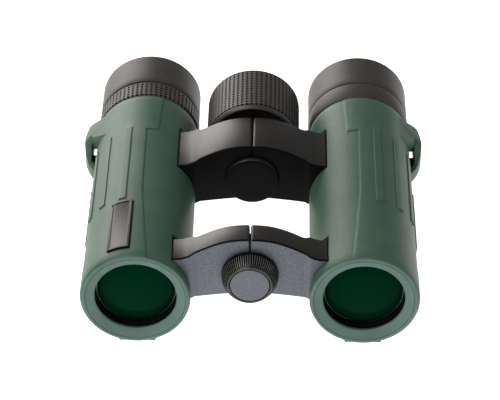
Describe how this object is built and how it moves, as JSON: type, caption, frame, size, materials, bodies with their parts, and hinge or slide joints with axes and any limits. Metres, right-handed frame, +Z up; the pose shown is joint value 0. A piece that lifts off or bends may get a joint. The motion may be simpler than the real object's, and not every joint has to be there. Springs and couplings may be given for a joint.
{
  "type": "binoculars",
  "caption": "Compact hand-held roof-prism binoculars with an open two-bridge hinge, green-grey rubber armour, centre focus wheel, twist-up eyecups and a capped tripod socket.",
  "frame": {"origin": "centre of the bounding box in plan, at the level of the flat pads it rests on", "axes": "+Z up, +Y from the objective lenses to the eyecups, +X towards the user's left barrel"},
  "size_m": [0.1178, 0.1166, 0.0416],
  "materials": {
    "armour_rubber": "matte, fine grain",
    "dark_rubber": "matte",
    "casting": "die-cast, sprayed satin black",
    "plate": "satin grey-brown",
    "trim_metal": "satin anodised, blue-grey",
    "black_plastic": "matte",
    "steel": "turned",
    "brass": "turned",
    "coated_glass": "green coating",
    "clear_glass": "polished"
  },
  "bodies": {
    "left_half": {"left_housing": "casting", "left_armour": "armour_rubber", "left_objective_cell": "black_plastic", "left_objective_retainer": "black_plastic", "left_objective_lens": "coated_glass", "left_prism_holder": "black_plastic", "left_base_prism": "clear_glass", "left_roof_prism": "clear_glass", "left_eyepiece_tube": "black_plastic", "left_ocular_cell": "black_plastic", "left_field_lens": "clear_glass", "left_eye_lens": "coated_glass", "left_collar": "dark_rubber", "rear_hinge_cover": "casting", "rear_hinge_pin": "steel", "rear_hinge_sleeve": "steel", "rear_hinge_washer": "black_plastic", "tripod_socket": "brass", "front_hinge_cover": "casting"},
    "right_half": {"right_housing": "casting", "right_armour": "armour_rubber", "right_objective_cell": "black_plastic", "right_objective_retainer": "black_plastic", "right_objective_lens": "coated_glass", "right_prism_holder": "black_plastic", "right_base_prism": "clear_glass", "right_roof_prism": "clear_glass", "right_eyepiece_tube": "black_plastic", "right_badge": "plate"},
    "focus_wheel": {"focus_wheel_core": "trim_metal", "focus_wheel_grip": "dark_rubber", "focus_wheel_cap": "trim_metal", "focus_screw": "steel"},
    "left_focus_group": {"focus_nut": "brass", "left_focus_arm": "steel", "left_focus_cell": "brass", "left_focus_lens": "clear_glass"},
    "right_focus_group": {"right_focus_arm": "steel", "right_focus_cell": "brass", "right_focus_lens": "clear_glass"},
    "diopter_ring": {"right_diopter_ring": "dark_rubber"},
    "right_ocular": {"right_ocular_cell": "black_plastic", "right_field_lens": "clear_glass", "right_eye_lens": "coated_glass"},
    "left_eyecup_sleeve": {"left_eyecup_sleeve": "black_plastic"},
    "left_eyecup": {"left_eyecup_core": "black_plastic", "left_eyecup_rubber": "dark_rubber"},
    "right_eyecup_sleeve": {"right_eyecup_sleeve": "black_plastic"},
    "right_eyecup": {"right_eyecup_core": "black_plastic", "right_eyecup_rubber": "dark_rubber"},
    "cap_seal": {"socket_cap_seal": "dark_rubber"},
    "socket_cap": {"socket_cap": "trim_metal", "socket_cap_disc": "trim_metal"}
  },
  "joints": [
    {"name": "fold", "type": "hinge", "parent": "left_half", "child": "right_half", "pos_m": [0, 0, 0.0256], "axis": [0, -1, 0], "range_deg": [0, 62]},
    {"name": "focus_turn", "type": "hinge", "parent": "left_half", "child": "focus_wheel", "pos_m": [0, 0.03, 0.0256], "axis": [0, 1, 0], "range_deg": [-270, 270]},
    {"name": "left_focus_slide", "type": "slide", "parent": "left_half", "child": "left_focus_group", "axis": [0, 1, 0], "range_m": [-0.0021, 0.0021]},
    {"name": "right_focus_slide", "type": "slide", "parent": "right_half", "child": "right_focus_group", "axis": [0, 1, 0], "range_m": [-0.0021, 0.0021]},
    {"name": "diopter_turn", "type": "hinge", "parent": "right_half", "child": "diopter_ring", "pos_m": [-0.03685, 0.0377, 0.0186], "axis": [0, 1, 0], "range_deg": [-45, 45]},
    {"name": "right_ocular_slide", "type": "slide", "parent": "right_half", "child": "right_ocular", "axis": [0, 1, 0], "range_m": [-0.0013, 0.0013]},
    {"name": "left_eyecup_rise", "type": "slide", "parent": "left_half", "child": "left_eyecup_sleeve", "axis": [0, 1, 0], "range_m": [0, 0.0081]},
    {"name": "left_eyecup_twist", "type": "hinge", "parent": "left_eyecup_sleeve", "child": "left_eyecup", "pos_m": [0.03685, 0.05, 0.0186], "axis": [0, 1, 0], "range_deg": [0, 100]},
    {"name": "right_eyecup_rise", "type": "slide", "parent": "right_half", "child": "right_eyecup_sleeve", "axis": [0, 1, 0], "range_m": [0, 0.0081]},
    {"name": "right_eyecup_twist", "type": "hinge", "parent": "right_eyecup_sleeve", "child": "right_eyecup", "pos_m": [-0.03685, 0.05, 0.0186], "axis": [0, 1, 0], "range_deg": [0, 100]},
    {"name": "cap_travel", "type": "slide", "parent": "left_half", "child": "cap_seal", "axis": [0, -1, 0], "range_m": [0, 0.0064]},
    {"name": "cap_unscrew", "type": "hinge", "parent": "cap_seal", "child": "socket_cap", "pos_m": [0, -0.055, 0.0256], "axis": [0, -1, 0], "range_deg": [0, 1800]}
  ],
  "couplings": [
    {"joint": "left_focus_slide", "follows": "focus_turn", "m_per_rad": -0.0004244},
    {"joint": "right_focus_slide", "follows": "focus_turn", "m_per_rad": -0.0004244},
    {"joint": "right_ocular_slide", "follows": "diopter_turn", "m_per_rad": 0.0015279},
    {"joint": "left_eyecup_rise", "follows": "left_eyecup_twist", "m_per_rad": 0.0045837},
    {"joint": "right_eyecup_rise", "follows": "right_eyecup_twist", "m_per_rad": 0.0045837},
    {"joint": "cap_travel", "follows": "cap_unscrew", "m_per_rad": 0.00020213}
  ]
}
